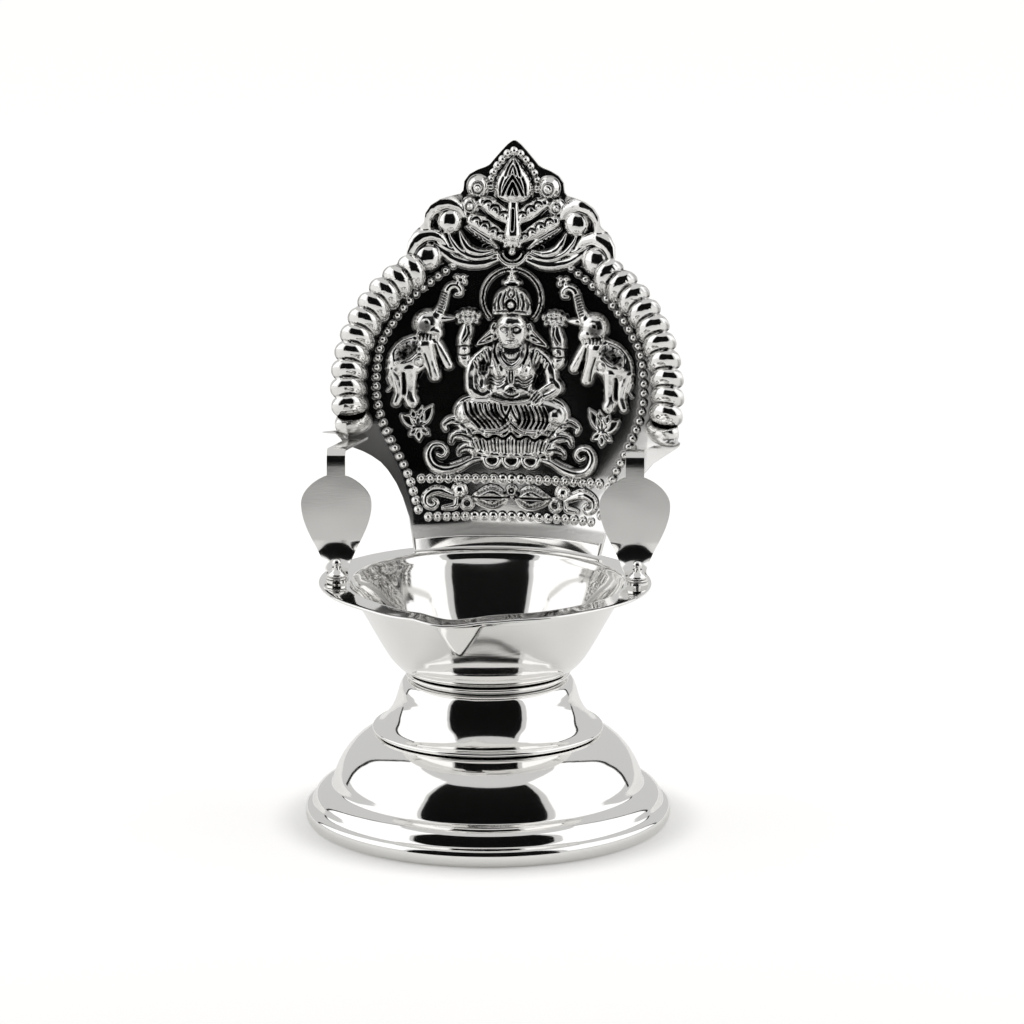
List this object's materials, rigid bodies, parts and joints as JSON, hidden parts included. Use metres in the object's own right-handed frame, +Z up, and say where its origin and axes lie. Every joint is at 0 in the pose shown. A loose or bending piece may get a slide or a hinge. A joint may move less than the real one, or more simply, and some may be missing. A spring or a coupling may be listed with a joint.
{
  "type": "standing oil lamp",
  "caption": "Polished sheet-metal oil lamp: stepped spun foot, flared screw-on bowl with a pinched wick spout, and an embossed arched backplate held by leaf-shaped stays.",
  "frame": {"origin": "centre of the foot's underside, on the lamp's axis", "axes": "+Z up, -Y towards the front, the wick spout 7.5 degrees round from it, backplate at +Y"},
  "size_m": [0.1008, 0.0998, 0.1814],
  "materials": {
    "polished_silver": "mirror-polished silver sheet with faint spinning lines",
    "embossed_silver": "embossed silver sheet, bright on the relief and darkened in the ground",
    "satin_silver": "plain unpolished metal on the hidden parts"
  },
  "bodies": {
    "pedestal": {"foot_shell": "polished_silver", "bottom_disc": "satin_silver", "pedestal_cone": "polished_silver", "threaded_bush": "satin_silver"},
    "neck": {"neck_washer": "satin_silver"},
    "bowl": {"bowl_foot_ring": "satin_silver", "bowl_stud": "satin_silver", "oil_bowl": "polished_silver", "backplate": "embossed_silver", "plate_foot_strip": "polished_silver", "stay_left": "polished_silver", "stay_right": "polished_silver", "rim_stud_left": "polished_silver", "rim_stud_right": "polished_silver", "nut_washer_left": "polished_silver", "nut_washer_right": "polished_silver"},
    "nut_left": {"finial_nut_left": "polished_silver"},
    "nut_right": {"finial_nut_right": "polished_silver"}
  },
  "joints": [
    {"name": "bowl_lift", "type": "slide", "parent": "pedestal", "child": "neck", "axis": [0, 0, 1], "range_m": [0, 0.008]},
    {"name": "bowl_turn", "type": "hinge", "parent": "neck", "child": "bowl", "pos_m": [0, 0, 0.04], "axis": [0, 0, 1], "range_deg": [0, 2880]},
    {"name": "nut_left_turn", "type": "hinge", "parent": "bowl", "child": "nut_left", "pos_m": [-0.03956, -0.0104, 0.0687], "axis": [0, 0, 1], "range_deg": [0, 2160]},
    {"name": "nut_right_turn", "type": "hinge", "parent": "bowl", "child": "nut_right", "pos_m": [0.0409, -0.00052, 0.0687], "axis": [0, 0, 1], "range_deg": [0, 2160]}
  ],
  "couplings": [
    {"joint": "bowl_lift", "follows": "bowl_turn", "m_per_rad": 0.00015915}
  ]
}
